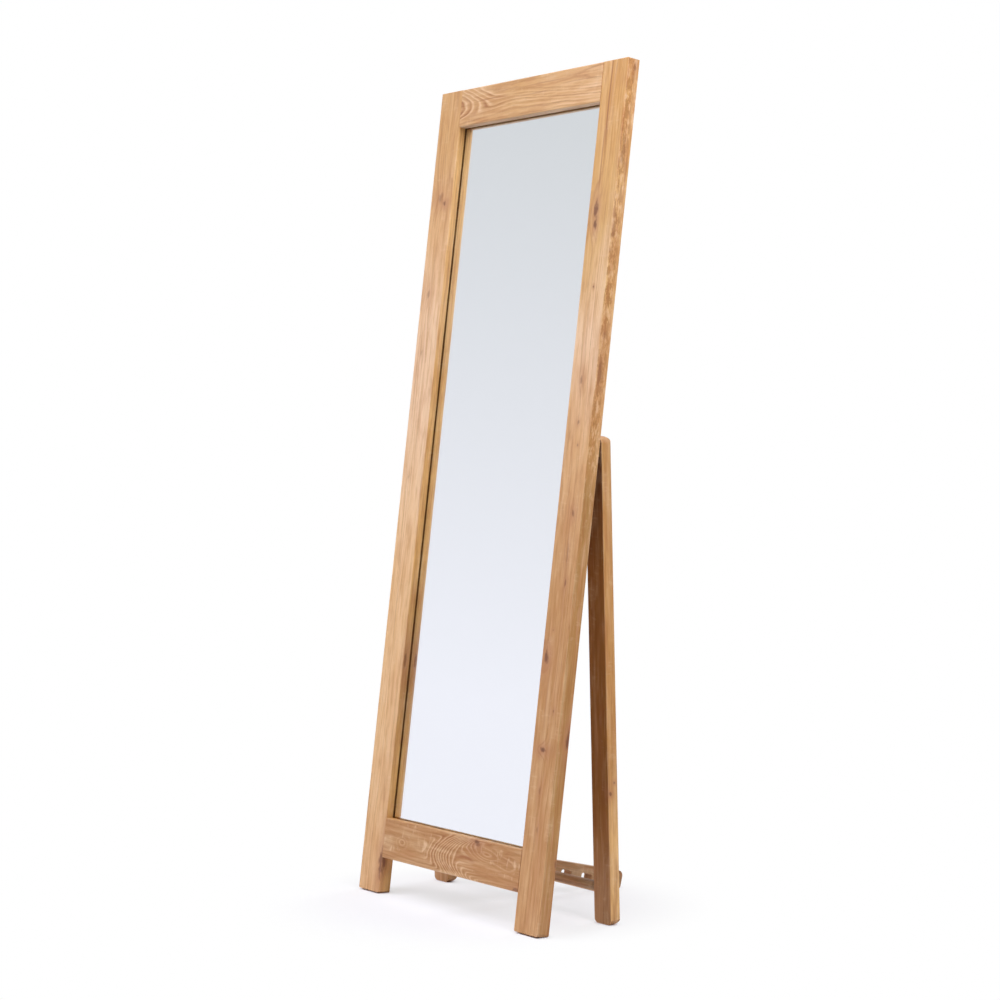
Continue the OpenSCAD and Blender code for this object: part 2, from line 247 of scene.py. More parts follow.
def dress(name, material):
    """Gives a CAD node its material."""
    slots = nodes[name].data.materials
    slots.clear()
    slots.append(material)


def lean_of(obj):
    """Turn about X of a piece's widest plane, from -45 to 45 degrees, in radians."""
    areas = {}
    for face in obj.data.polygons:
        normal = face.normal
        if abs(normal.x) < 0.01:
            turn = (math.degrees(math.atan2(normal.z, -normal.y)) + 45) % 90 - 45
            key = round(turn, 2)
            areas[key] = areas.get(key, 0.0) + face.area
    return math.radians(max(areas, key=areas.get))


# The object's axes that are a board's u, v and w, by the axis that its grain follows
AXES_BY_GRAIN = {"Z": (0, 1, 2), "X": (2, 1, 0), "Y": (0, 2, 1)}


class Board:
    """A flat piece in its own axes: its turn about X, its middle and its half sizes.

    On the board, u runs across it, v through its thickness and w along its grain. Its front is
    where v is lowest, and on the stay that is its underside.
    """

    def __init__(self, name, grain, from_foot=False):
        obj = nodes[name]
        self.name = name
        self.turn = lean_of(obj)
        corners = np.array([v.co for v in obj.data.vertices])
        turned = corners @ np.array(Matrix.Rotation(self.turn, 3, "X")).T
        low = turned.min(axis=0)
        high = turned.max(axis=0)
        self.middle = (low + high) / 2
        self.half = (high - low) / 2
        self.order = AXES_BY_GRAIN[grain]
        # Where the places of its marks are measured from: its foot or its middle
        self.start = -self.halves()[2] if from_foot else 0.0

    def axes(self, place):
        """The place on the board as u, v and w, and as one vector."""
        local = place.node(
            "ShaderNodeMapping",
            {},
            {"Vector": place, "Rotation": (self.turn, 0, 0), "Location": tuple(-self.middle)},
        )
        given = local.axes()
        u, v, w = [given[i] for i in self.order]
        vector = place.node("ShaderNodeCombineXYZ", {}, {"X": u, "Y": v, "Z": w})
        return u, v, w, vector

    def halves(self):
        return [float(self.half[i]) for i in self.order]


# Oak: its colours on the faces, on the sides and legs, and in its marks

CREAM = rgb(0.835, 0.57, 0.38)
PALE = rgb(0.80, 0.51, 0.275)
HONEY = rgb(0.715, 0.425, 0.215)
GOLD = rgb(0.62, 0.345, 0.138)
AMBER = rgb(0.65, 0.345, 0.108)
TAN = rgb(0.59, 0.32, 0.142)
BROWN = rgb(0.535, 0.278, 0.113)
UMBER = rgb(0.50, 0.258, 0.106)
# The next colour is oak darkened as painted shade, for the dowel and the stay in the frame's shadow
OAK_PAINTED_SHADE = rgb(0.34, 0.195, 0.092)

# The next colour is painted light, brighter than the oak itself, on sides that the lamps light too
# little: low on the right leg and high on the left stile
WARM_PAINTED_LIGHT = rgb(0.90, 0.56, 0.235)
BRIGHT = rgb(0.79, 0.445, 0.142)
SIDE_HIGH = rgb(0.69, 0.42, 0.17)
FLANK = rgb(0.62, 0.33, 0.112)
# The next two colours darken the right stile's sides low down: partly the board's own tone, partly
# painted shade
DIM = rgb(0.455, 0.24, 0.073)
DARK_SIDE = rgb(0.385, 0.20, 0.056)
# The next two colours are painted shade: the legs' fronts stand in the frame's shadow, darkest near
# their tops
LEG_PAINTED_SHADE = rgb(0.36, 0.15, 0.032)
LEG_DEEP_PAINTED_SHADE = rgb(0.10, 0.034, 0.008)

RAY = rgb(0.88, 0.64, 0.44)
STAIN = rgb(0.86, 0.77, 0.67)
DEEP = rgb(0.49, 0.205, 0.078)
PATCH = rgb(0.38, 0.185, 0.058)
LINE = rgb(0.36, 0.132, 0.044)
PORE = rgb(0.22, 0.10, 0.04)
HALO = rgb(0.42, 0.17, 0.085)
KNOT = rgb(0.16, 0.052, 0.022)

# How deep the wear, a side's colour, a leg's rounded top, a knot, the end grain and a pore go
ARRIS = 2.5 * MM
SKIN = 1.2 * MM
CROWN = 14 * MM
KNOT_DEPTH = 16 * MM
END_GRAIN = 1.5 * MM
PORE_DEPTH = 0.12 * MM

# How far the rings and the marks stray from their lines
SLOW_DRIFT = 34 * MM
QUICK_DRIFT = 4 * MM
FIGURE_WOBBLE = 6 * MM
ARCH_WOBBLE = 5 * MM
LINE_WOBBLE = 8 * MM

# Shares: how uneven a ring is, how far the tones stray along a board, and how far a side's colour
# covers it; on some boards that colour holds painted light and shade. A year's strength is read
# from a noise, one step further on each year.
UNEVENNESS = 0.35
TONE_DRIFT = 0.2
FLANK_SHARE = 0.85
YEAR_STEP = 0.73

# Patterns in the wood: the cycles per metre across, through and along a board, then the detail,
# the roughness and the number that sets each apart from the others
SLOW_WANDER = ((6, 6, 1.1), 2, 0.5, 0)
QUICK_WANDER = ((34, 34, 7), 2, 0.55, 3)
RAGGED_KNOTS = ((150, 150, 60), 2, 0.6, 4)
UNEVEN_RINGS = ((90, 90, 12), 1, 0.5, 5)
FADED_RINGS = ((40, 40, 5), 2, 0.5, 6)
FIBRES = ((900, 900, 14), 3, 0.6, 7)
STREAKS = ((150, 150, 12), 3, 0.6, 11)
BROAD_BANDS = ((24, 24, 2.6), 3, 0.55, 13)
MOTTLING = ((55, 55, 16), 2, 0.5, 17)
PORES = ((1500, 1500, 75), 1, 0.5, 19)
WEAR = ((120, 120, 12), 2, 0.5, 23)
RIPPLES = ((45, 45, 150), 2, 0.5, 29)
RIBBONS = ((60, 60, 2.2), 2, 0.5, 31)
FLANK_PATCHES = ((70, 150, 55), 3, 0.65, 37)
FLANK_STROKES = ((60, 230, 12), 2, 0.5, 41)


def most_of(first, second):
    """The stronger of two masks at each place, where the first may still be missing."""
    return second if first is None else first.most(second)


def all_over(colour):
    """One colour from end to end of a board."""
    return [(0.0, colour), (1.0, colour)]


class Wood:
    """One board's cut of a log, and the marks on its faces. Its sizes are in millimetres.

    The log's pith lies at pith = (u, v) from the board's middle. A mark lies on face "v", which
    is the front, or on face "u", the side where u is highest. Its place is given across that face
    and then along the board.
    """

    def __init__(self, board, seed, pith):
        self.material, self.place = new_material("oak_" + board.name)
        self.u, self.v, self.w, self.spot = board.axes(self.place)
        self.half_u, self.half_v, self.half_w = board.halves()
        self.from_u = self.half_u - self.u.absolute()
        self.from_v = self.half_v - self.v.absolute()
        self.start = board.start
        self.seed = seed
        slow = self.noise(SLOW_WANDER, "Color").axes()
        quick = self.noise(QUICK_WANDER, "Color").axes()
        self.wander_u = (slow[0] - 0.5) * SLOW_DRIFT + (quick[0] - 0.5) * QUICK_DRIFT
        self.wander_v = (slow[1] - 0.5) * SLOW_DRIFT + (quick[1] - 0.5) * QUICK_DRIFT
        self.wobble = quick[2] - 0.5
        self.ragged = self.noise(RAGGED_KNOTS) - 0.5
        self.broad = self.noise(BROAD_BANDS)
        self.fibre = self.noise(FIBRES)
        across = self.u + self.wander_u - pith[0] * MM
        through = self.v + self.wander_v - pith[1] * MM
        self.depth = (across * across + through * through) ** 0.5
        # Masks that the marks build up, each empty until its first mark
        self.curled = None
        self.core = None
        self.halo = None
        self.streaked = None

    def noise(self, pattern, out=0):
        """A pattern's noise, in the board's own axes."""
        scale, detail, rough, number = pattern
        return self.spot.noise(scale, detail, rough, self.seed + number, out)

    def mark_at(self, distance):
        """Where along the board a mark lies, from its distance in millimetres."""
        return self.start + distance * MM

    def along(self, distance):
        """How far along the board each point is from a mark."""
        return self.w - self.mark_at(distance)

    def across(self, face, distance):
        """How far across a face each point is from a mark."""
        return (self.u if face == "v" else self.v) - distance * MM

    def on_face(self, face):
        """1 on the face that a mark shows on, falling to 0 within the board."""
        inward = self.v + self.half_v if face == "v" else self.half_u - self.u
        return inward.smooth(KNOT_DEPTH, KNOT_DEPTH / 3)

    def add_figure(self, across, along, wide, long, lift, contrast):
        """Rings that swell out of the board by lift about a place, and show by contrast."""
        off_u = (self.u + self.wander_u * 0.3 - across * MM) / (wide * MM)
        off_w = (self.w + self.wobble * FIGURE_WOBBLE - self.mark_at(along)) / (long * MM)
        swell = ((off_u * off_u + off_w * off_w) ** 0.5).bell()
        self.depth = self.depth + swell * (lift * MM)
        self.curled = most_of(self.curled, swell * contrast)

    def add_arches(self, across, first, last, spread, lift, contrast):
        """Rings bowed about a line along the board, from first to last. Spread opens the bows."""
        off_u = self.u + self.wander_u * 0.25 - across * MM
        bow = off_u * off_u / ((spread if last > first else -spread) * MM)
        level = self.w + self.wobble * ARCH_WOBBLE - bow
        low = self.mark_at(first)
        high = self.mark_at(last)
        self.depth = self.depth + level.smooth(low, high) * (lift * MM)
        step = (high - low) / 4
        shown = level.smooth(low - step, low + step) * level.smooth(high + step * 2, high - step)
        self.curled = most_of(self.curled, shown * contrast)

    def add_knot(self, face, across, along, radius, stretch, strength):
        """A dark knot in a brown halo, longer along the board by stretch, with rings round it."""
        side = self.across(face, across) + self.wobble * (radius * MM)
        off_w = self.along(along) / stretch
        reach = ((side * side + off_w * off_w) ** 0.5) / (radius * MM)
        fade = self.on_face(face) * strength
        self.depth = self.depth + (reach * 0.45).bell() * fade * (radius * 0.6 * MM)
        self.core = most_of(self.core, (reach + self.ragged * 1.8).smooth(1.05, 0.3) * fade)
        self.halo = most_of(self.halo, (reach * 0.42 + self.ragged * 0.9).bell() * fade)

    def add_line(self, face, across, along, length, width, bend, strength):
        """A dark line along the board, bowed by bend."""
        run = self.along(along) / (length * MM)
        side = self.across(face, across) - run * run * (bend * MM) + self.wobble * LINE_WOBBLE
        mark = (side / (width * MM)).bell() * run.absolute().smooth(0.5, 0.2)
        self.streaked = most_of(self.streaked, mark * self.on_face(face) * strength)

    def grow(self, ring):
        """Lays the rings, and the pores that lie thickest in them, once its marks are added."""
        uneven = self.noise(UNEVEN_RINGS) - 0.5
        rings = self.depth / (ring * MM) + uneven * UNEVENNESS
        self.year = rings.part()
        early = self.year.smooth(0.0, 0.14) * self.year.smooth(0.6, 0.16)
        per_year = self.spot.node(
            "ShaderNodeTexNoise",
            {"noise_dimensions": "1D"},
            {"W": rings.whole() * YEAR_STEP + self.seed, "Scale": 1.0, "Detail": 0.0},
        )
        faded = self.noise(FADED_RINGS)
        self.band = early * per_year.smooth(0.25, 0.7) * faded.smooth(0.25, 0.6)
        self.pores = self.noise(PORES).smooth(0.58, 0.7) * (self.band * 0.7 + 0.3)

    def faces(self, tones, flanks, rear, wild):
        """The colours along the faces, and the strokes and patches on the sides."""
        along = self.w / (self.half_w * 2) + 0.5 + (self.broad - 0.5) * TONE_DRIFT
        flank = self.from_u.smooth(SKIN, 0.0)
        colour = along.ramp(tones).tint(along.ramp(flanks), flank * FLANK_SHARE)
        # A leg's back and rounded top take rear, its own colour, so that the painted shade in its
        # front tones stays on the front
        if rear:
            top = self.w.smooth(self.half_w - CROWN, self.half_w - CROWN * 0.7)
            crown = top * (self.v + self.half_v).smooth(0, SKIN)
            back = self.v.smooth(self.half_v - SKIN, self.half_v)
            colour = colour.tint(rear, back.most(crown))
        stroke = self.noise(FLANK_STROKES)
        colour = colour.tint(DEEP, stroke.smooth(0.5, 0.66) * flank * 0.5)
        if wild:
            patch = self.noise(FLANK_PATCHES)
            upper = flank * along.smooth(0.40, 0.62) * wild
            dark = patch.smooth(0.49, 0.56) * self.v.smooth(self.half_v, 0)
            colour = colour.tint(PATCH, dark * upper)
            colour = colour.tint(RAY, patch.smooth(0.46, 0.38) * upper * 0.65)
        return colour

    def grain(self, colour, bold, curly):
        """Lays the grain over a colour, from its broadest bands down to its pores."""
        mottle = self.noise(MOTTLING)
        ribbon = self.noise(RIBBONS)
        streak = self.noise(STREAKS)
        ripple = self.noise(RIPPLES)
        for over, mask, share in (
            (DEEP, mottle.smooth(0.5, 0.74), 0.26),
            (RAY, mottle.smooth(0.46, 0.28), 0.15),
            (DEEP, self.broad.smooth(0.5, 0.72), 0.20),
            (DEEP, ribbon.smooth(0.5, 0.7), 0.18),
            (RAY, ribbon.smooth(0.46, 0.3), 0.13),
        ):
            colour = colour.tint(over, mask * share)
        strength = bold if self.curled is None else self.curled.most(bold)
        colour = colour.tint(LINE, self.band * strength)
        if self.curled is not None:
            late = self.year.smooth(0.55, 0.8) * self.year.smooth(1.0, 0.9)
            colour = colour.tint(RAY, late * self.curled * 0.45)
        colour = colour.stained(STAIN, streak.smooth(0.45, 0.68))
        for over, mask, share in (
            (RAY, streak.smooth(0.47, 0.32), 0.16),
            (RAY, ripple.smooth(0.54, 0.68) * mottle.smooth(0.55, 0.35), curly),
            (PORE, self.fibre.smooth(0.55, 0.8), 0.26),
            (PORE, self.pores, 0.45),
        ):
            colour = colour.tint(over, mask * share)
        return colour

    def marks(self, colour):
        """Lays the dark lines and the knots over a colour."""
        if self.streaked is not None:
            colour = colour.tint(LINE, self.streaked)
        if self.core is not None:
            colour = colour.tint(HALO, self.halo * 0.62)
            colour = colour.tint(KNOT, self.core * 0.85)
        return colour

    def worn(self):
        """Rubbed places along the edges."""
        edge = self.from_u.smooth(ARRIS, 0.0) * self.from_v.smooth(ARRIS, 0.0)
        return edge * self.noise(WEAR).smooth(0.35, 0.6)

    def ends(self):
        """The end grain."""
        return (self.half_w - self.w.absolute()).smooth(END_GRAIN, 0.0)


def oak(
    board, seed, pith, ring, tones, knots=(), lines=(), figures=(), arches=(),
    flanks=all_over(FLANK), rear=None, bold=0.4, curly=0.12, wild=0.0,
):
    """Dresses a board in its own cut of oak, with its sizes in millimetres.

    Rings lie ring apart and show as strongly as bold says. The tones follow each other from the
    low to the high end of the board, as (share of the length, colour), and the flanks do on its
    two sides; on a leg the tones hold painted shade on its front. Rear is the leg's own colour, on
    its back and its rounded top, where that painted shade does not go. Curly is the strength of
    the pale ripples, and wild that of the patches on the sides of the upper half. Each mark holds
    what Wood's method for it takes.
    """
    wood = Wood(board, seed, pith)
    for figure in figures:
        wood.add_figure(*figure)
    for arch in arches:
        wood.add_arches(*arch)
    for knot in knots:
        wood.add_knot(*knot)
    for line in lines:
        wood.add_line(*line)
    wood.grow(ring)
    worn = wood.worn()
    colour = wood.marks(wood.grain(wood.faces(tones, flanks, rear, wild), bold, curly))
    colour = colour.tint(RAY, worn * 0.25)
    colour = colour.tint(LINE, wood.ends() * 0.3)
    height = 1 - wood.band * 0.35 - wood.pores * 0.6 - wood.fibre * 0.25
    finish_material(
        wood.place,
        {
            "Base Color": colour,
            "Roughness": 0.46 + wood.pores * 0.25 + wood.band * 0.06 - worn * 0.08,
            "Normal": bumped(wood.place, height, PORE_DEPTH),
            "IOR": 1.5,
            "Specular IOR Level": 0.4,
        },
    )
    dress(board.name, wood.material)


def dress_left_stile():
    oak(
        Board("left_stile", "Z", from_foot=True), seed=2.0, pith=(24, 52), ring=2.9,
        tones=[(0.05, HONEY), (0.19, PALE), (0.40, PALE), (0.56, CREAM), (0.70, CREAM),
               (0.82, HONEY), (0.94, GOLD)],
        knots=[
            ("v", 14.0, 1373.8, 6.4, 1.0, 1.0),
            ("v", -3.0, 1386, 11.0, 1.3, 0.5),
            ("v", -9.6, 1195, 5.5, 2.2, 0.5),
            ("v", -13.5, 1075, 5.0, 1.8, 0.3),
            ("v", -11.7, 826, 3.0, 2.0, 0.3),
            ("v", 34.0, 60, 7.0, 5.0, 0.9),
            ("u", -8.0, 470, 3.6, 6.0, 0.8),
            ("u", -9.6, 62, 6.0, 1.8, 0.9),
        ],
        lines=[
            ("v", -24.0, 1500, 190, 1.6, 6, 0.35),
            ("v", 20.0, 1060, 150, 1.4, -5, 0.25),
            ("v", 26.0, 330, 220, 2.0, 5, 0.3),
            ("v", -8.0, 560, 260, 1.6, 6, 0.22),
        ],
        # High up, its sides take painted light, brighter than the oak itself
        flanks=[(0.0, BRIGHT), (0.15, BRIGHT), (0.27, DIM), (0.40, BRIGHT), (0.66, BRIGHT),
                (0.74, WARM_PAINTED_LIGHT), (0.86, WARM_PAINTED_LIGHT), (1.0, BRIGHT)],
        bold=0.34,
    )


def dress_right_stile():
    oak(
        Board("right_stile", "Z", from_foot=True), seed=9.0, pith=(-22, 50), ring=2.7,
        # Its tones darken towards the foot: partly the board's own tone, partly painted shade where
        # less lamp light reaches
        tones=[(0.05, TAN), (0.20, BROWN), (0.34, BROWN), (0.45, TAN), (0.57, HONEY),
               (0.68, CREAM), (0.80, SIDE_HIGH), (0.94, AMBER)],
        knots=[
            ("v", -13.0, 1325, 6.8, 2.9, 1.0),
            ("v", -11.5, 1298, 5.4, 2.2, 1.0),
            ("v", 2.4, 1182, 2.2, 1.3, 0.8),
            ("v", -4.2, 1011, 4.2, 2.2, 0.55),
            ("v", -0.6, 934, 3.6, 1.4, 0.55),
            ("v", 4.2, 892, 3.2, 1.2, 0.5),
            ("v", 11.2, 767, 4.4, 2.0, 0.8),
            ("v", 8.0, 690, 2.0, 12.0, 0.5),
            ("v", 11.0, 640, 3.0, 2.4, 0.7),
            ("v", -22.4, 503, 7.4, 2.1, 1.0),
            ("v", -10.2, 553, 2.6, 1.0, 0.6),
            ("v", 14.5, 407, 2.8, 1.3, 0.7),
            ("v", -4.0, 335, 9.5, 0.62, 1.0),
            ("v", -1.0, 262, 3.6, 2.6, 0.4),
            ("v", 3.0, 190, 4.6, 2.2, 0.35),
            ("u", 3.0, 1585, 5.0, 2.0, 0.6),
            ("u", -3.0, 1430, 5.0, 7.0, 0.45),
            ("u", -6.0, 1290, 5.0, 7.0, 0.5),
            ("u", -1.6, 1094, 6.0, 2.2, 0.5),
            ("u", -5.3, 1025, 5.0, 6.0, 0.5),
            ("u", 9.8, 358, 4.6, 5.0, 1.0),
            ("u", 11.0, 130, 3.4, 4.0, 0.6),
        ],
        lines=[
            ("v", -8.0, 1528, 240, 2.3, 3, 1.0),
            ("v", -12.0, 1420, 160, 1.9, 6, 0.7),
            ("v", 9.0, 1450, 260, 1.4, -6, 0.25),
            ("v", -3.0, 1085, 200, 2.2, 5, 0.2),
            ("v", 12.0, 1120, 200, 1.5, -4, 0.15),
            ("v", -1.0, 730, 190, 1.7, 9, 0.5),
            ("v", 9.0, 665, 120, 1.7, -9, 0.5),
            ("v", -8.0, 440, 190, 2.0, 7, 0.35),
            ("u", 7.0, 1330, 300, 1.3, 4, 0.4),
            ("u", -4.0, 330, 380, 1.2, 4, 0.35),
            ("u", 5.0, 560, 300, 1.0, -3, 0.3),
        ],
        # Its sides darken towards the foot in the same way: partly the board's own tone, partly
        # painted shade
        flanks=[(0.0, UMBER), (0.12, DIM), (0.30, DIM), (0.50, DARK_SIDE), (0.62, FLANK),
                (0.71, SIDE_HIGH), (0.84, SIDE_HIGH), (1.0, FLANK)],
        bold=0.33,
        wild=0.8,
    )


def dress_top_rail():
    oak(
        Board("top_rail", "X"), seed=15.0, pith=(12, 60), ring=2.9,
        tones=[(0.0, TAN), (0.45, GOLD), (1.0, HONEY)],
        figures=[(-8, -50, 26, 150, 7, 0.65), (-20, 150, 30, 160, 6, 0.6)],
        arches=[(10, -85, -250, 11, 16, 1.0)],
        lines=[
            ("v", 9.0, -120, 130, 1.4, -12, 0.6),
            ("v", 3.0, 10, 120, 1.4, 5, 0.45),
            ("v", 20.0, 60, 160, 1.3, 4, 0.5),
            ("v", 12.0, 150, 130, 1.3, -4, 0.4),
        ],
        # The pale colour on its sides is a painted highlight on the rail's underside, over the
        # glass
        flanks=all_over(RAY),
        bold=0.55,
    )


def dress_bottom_rail():
    oak(
        Board("bottom_rail", "X"), seed=21.0, pith=(4, 60), ring=2.8,
        tones=all_over(UMBER),
        knots=[("v", 35.0, 84, 7.0, 1.6, 1.0), ("v", -36.0, 215, 4.0, 2.4, 0.8)],
        lines=[("v", 0.5, 54, 68, 4.2, -32, 1.0)],
        figures=[
            (12, 120, 14, 45, 11, 0.7),
            (2, 185, 14, 40, 7, 0.6),
            (-1, -160, 10, 20, 7, 0.6),
        ],
        arches=[(-4, -100, 35, 18, 31, 1.0)],
        curly=0.35,
    )


def dress_left_leg():
    oak(
        Board("left_leg", "Z"), seed=27.0, pith=(30, -50), ring=3.0,
        # Its front darkens up the leg: painted shade from the frame before it
        tones=[(0.1, UMBER), (0.7, LEG_PAINTED_SHADE), (0.95, LEG_DEEP_PAINTED_SHADE)],
        rear=TAN,
    )


def dress_right_leg():
    oak(
        Board("right_leg", "Z"), seed=33.0, pith=(20, 50), ring=3.2,
        # Its front darkens up the leg: painted shade from the frame before it
        tones=[(0.0, BROWN), (0.28, LEG_PAINTED_SHADE), (0.7, LEG_PAINTED_SHADE), (0.95, LEG_DEEP_PAINTED_SHADE)],
        knots=[("u", -7.0, -205, 4.4, 1.2, 0.9), ("u", 4.0, -186, 3.4, 1.0, 0.7)],
        # Low down, its sides take painted light, brighter than the oak itself
        flanks=[(0.0, WARM_PAINTED_LIGHT), (0.2, WARM_PAINTED_LIGHT), (0.34, FLANK), (1.0, FLANK)],
        rear=TAN,
    )


def dress_cross_dowel():
    oak(
        Board("cross_dowel", "X"), seed=39.0, pith=(20, 30), ring=2.4,
        # Its colour is painted shade: the dowel stands in the frame's shadow
        tones=all_over(OAK_PAINTED_SHADE),
    )


def dress_notched_stay():
    oak(
        Board("notched_stay", "Y"), seed=45.0, pith=(30, -50), ring=2.8,
        tones=all_over(UMBER),
        # Its sides are painted shade, under the frame
        flanks=all_over(OAK_PAINTED_SHADE),
    )


# Fittings and the hidden layers

BRASS = rgb(0.83, 0.63, 0.30)
DULL_BRASS = rgb(0.60, 0.42, 0.18)
ZINC = rgb(0.72, 0.73, 0.74)
DULL_ZINC = rgb(0.52, 0.53, 0.54)
BOARD_DARK = rgb(0.20, 0.105, 0.055)
BOARD_LIGHT = rgb(0.34, 0.20, 0.11)
BOARD_CLOUD = rgb(0.26, 0.15, 0.08)
FOAM_DARK = rgb(0.70, 0.70, 0.66)
FOAM_LIGHT = rgb(0.82, 0.82, 0.78)
RUBBER_DARK = rgb(0.02, 0.02, 0.02)
RUBBER_LIGHT = rgb(0.05, 0.05, 0.05)

# Brushed along the hinges, and along the clips, in cycles per metre
BRUSHED_ALONG_X = (30, 900, 900)
BRUSHED_ALONG_Y = (900, 60, 900)

# Depth of the brushing, of the hardboard's fibres and of the cells in foam and rubber
BRUSHING = 0.03 * MM
MATTING = 0.08 * MM
FOAM_CELLS = 0.1 * MM
RUBBER_CELLS = 0.05 * MM


def metal(name, bright, dull, roughness, brushed):
    """Metal with fine brushing, duller in patches where hands have touched it."""
    material, place = new_material(name)
    patch = place.noise(even(60), 3, 0.55, 1.0)
    line = place.noise(brushed, 2, 0.6, 2.0)
    finish_material(
        place,
        {
            "Base Color": patch.smooth(0.35, 0.7).between(bright, dull),
            "Roughness": roughness + patch * 0.16 + line * 0.1,
            "Normal": bumped(place, line, BRUSHING),
            "Metallic": 1.0,
        },
    )
    return material


def hardboard():
    """Smooth hardboard: matted fibres in several browns."""
    material, place = new_material("hardboard")
    mat = place.noise(even(420), 4, 0.7, 4.0)
    cloud = place.noise(even(9), 2, 0.5, 5.0)
    colour = mat.smooth(0.3, 0.72).between(BOARD_DARK, BOARD_LIGHT)
    finish_material(
        place,
        {
            "Base Color": colour.tint(BOARD_CLOUD, cloud.smooth(0.4, 0.65) * 0.5),
            "Roughness": 0.62 + mat * 0.2,
            "Normal": bumped(place, mat, MATTING),
        },
    )
    return material


def matt(name, dark, light, roughness, cells, depth):
    """A matt foam or rubber with a fine cell texture."""
    material, place = new_material(name)
    cell = place.noise(even(cells), 3, 0.6, 6.0)
    finish_material(
        place,
        {
            "Base Color": cell.smooth(0.3, 0.7).between(dark, light),
            "Roughness": roughness + cell * 0.12,
            "Normal": bumped(place, cell, depth),
        },
    )
    return material


def dress_fittings():
    brass = metal("brass", BRASS, DULL_BRASS, roughness=0.24, brushed=BRUSHED_ALONG_X)
    zinc = metal("zinc_plate", ZINC, DULL_ZINC, roughness=0.30, brushed=BRUSHED_ALONG_Y)
    foam = matt("foam", FOAM_DARK, FOAM_LIGHT, roughness=0.8, cells=500, depth=FOAM_CELLS)
    rubber = matt("rubber", RUBBER_DARK, RUBBER_LIGHT, roughness=0.6, cells=300, depth=RUBBER_CELLS)
    for name in nodes:
        if "hinge" in name:
            dress(name, zinc if "pin" in name else brass)
    dress("retaining_clips", zinc)
    dress("clip_screws", zinc)
    dress("backing_board", hardboard())
    dress("foam_sheet", foam)
    dress("setting_blocks", rubber)


# Mirror: a clear pane with its back silvered

SEAM = 0.4 * MM
BACK_PAINT = 0.2 * MM
# How far in from the pane's edge the painted shade of the frame's rebate reaches on the silvering,
# and how softly it ends
EDGE_SHADE_REACH = 12 * MM
EDGE_SHADE_FADE = 2 * MM
GLASS_IOR = 1.5
WHITE = rgb(1, 1, 1)
CLEAR = rgb(0.985, 0.995, 0.99)
SILVER = rgb(0.955, 0.965, 0.965)
SILVER_PAINTED_SHADE = rgb(0.40, 0.28, 0.14)
GLASS_SLOT = 0
SILVER_SLOT = 1


def clear_glass():
    material, place = new_material("clear_glass")
    film = place.noise(even(5), 2, 0.5, 8.0)
    finish_material(
        place,
        {
            "Base Color": (film * 0.2).between(CLEAR, WHITE),
            "Roughness": 0.0,
            "Transmission Weight": 1.0,
            "IOR": GLASS_IOR,
        },
    )
    return material


def silver_back(pane):
    """Silvering, with a brown painted shade along its edge, under the lip of the frame that hides
    it, and a little way past it.
    """
    material, place = new_material("silver_back")
    u, _, w, spot = pane.axes(place)
    half_u, _, half_w = pane.halves()
    inward = (half_u - u.absolute()).least(half_w - w.absolute())
    ragged = (spot.noise(even(80), 2, 0.5, 9.0) - 0.5) * MM
    # The painted shade along the edge, ragged a little
    painted_edge_shade = (inward + ragged).smooth(EDGE_SHADE_REACH, EDGE_SHADE_REACH - EDGE_SHADE_FADE)
    finish_material(
        place,
        {"Base Color": painted_edge_shade.between(SILVER, SILVER_PAINTED_SHADE), "Roughness": 0.0, "Metallic": 1.0},
    )
    return material


def make_mirror():
    """One seamed sheet: clear glass in front and on its edges, silvered on its back face."""
    pane = Board("mirror_glass", "Z")
    half = Vector(pane.half)
    half.y -= BACK_PAINT / 2
    middle = Vector(pane.middle)
    middle.y -= BACK_PAINT / 2
    mesh = bmesh.new()
    bmesh.ops.create_cube(mesh, size=2.0)
    bmesh.ops.scale(mesh, vec=half, verts=mesh.verts)
    bmesh.ops.bevel(
        mesh, geom=mesh.edges[:], offset=SEAM, offset_type="OFFSET", affect="EDGES",
        segments=1, profile=0.5, material=-1,
    )
    mesh.normal_update()
    for face in mesh.faces:
        face.material_index = SILVER_SLOT if face.normal.y > 0.99 else GLASS_SLOT
    bmesh.ops.translate(mesh, vec=middle, verts=mesh.verts)
    bmesh.ops.rotate(
        mesh, verts=mesh.verts, cent=(0, 0, 0), matrix=Matrix.Rotation(-pane.turn, 3, "X")
    )
    sheet = add_mesh("silvered_glass", mesh)
    sheet.data.materials.append(clear_glass())
    sheet.data.materials.append(silver_back(pane))
    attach(sheet, "frame")
    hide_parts("mirror_glass")


# Studio

CAMERA_AT = (3.64906, -2.75567, 0.90795)
CAMERA_YAW = math.radians(53.6145)
CAMERA_DOWN = math.radians(3.2083)
LENS_MM = 85.109
SENSOR_MM = 36.0
SHIFT = (-0.005723, 0.066159)
AMBIENT = 0.15

# The wall that the mirror shows turns from white to grey as the ray rises
WALL_WHITE = rgb(0.922, 0.922, 1.0)
WALL_GREY = rgb(0.70, 0.716, 0.748)
WALL_LOW = 0.04
WALL_HIGH = 0.28

# The floor is plain white from FLOOR_FAR out. Within FLOOR_NEAR of its middle, FLOOR_GLOW is the
# share of white in it and the rest takes the shadow. FLOOR_SEEN is the colour that the camera
# and the mirror show there, and FLOOR_LIT the one that it throws back on the object.
FLOOR_LIT = rgb(0.85, 0.84, 0.83)
FLOOR_SEEN = rgb(0.84, 0.825, 0.94)
FLOOR_RADIUS = 7.0
FLOOR_SIDES = 96
FLOOR_MIDDLE = (-0.03, -0.10)
FLOOR_NEAR = 0.18
FLOOR_FAR = 0.46
FLOOR_GLOW = 0.62

# The contact shadow under the feet: its reach, and how open to the sky the floor is in it and past
# it
CONTACT_REACH = 25 * MM
CONTACT_SAMPLES = 8
CONTACT_SHUT = 0.2
CONTACT_OPEN = 0.85


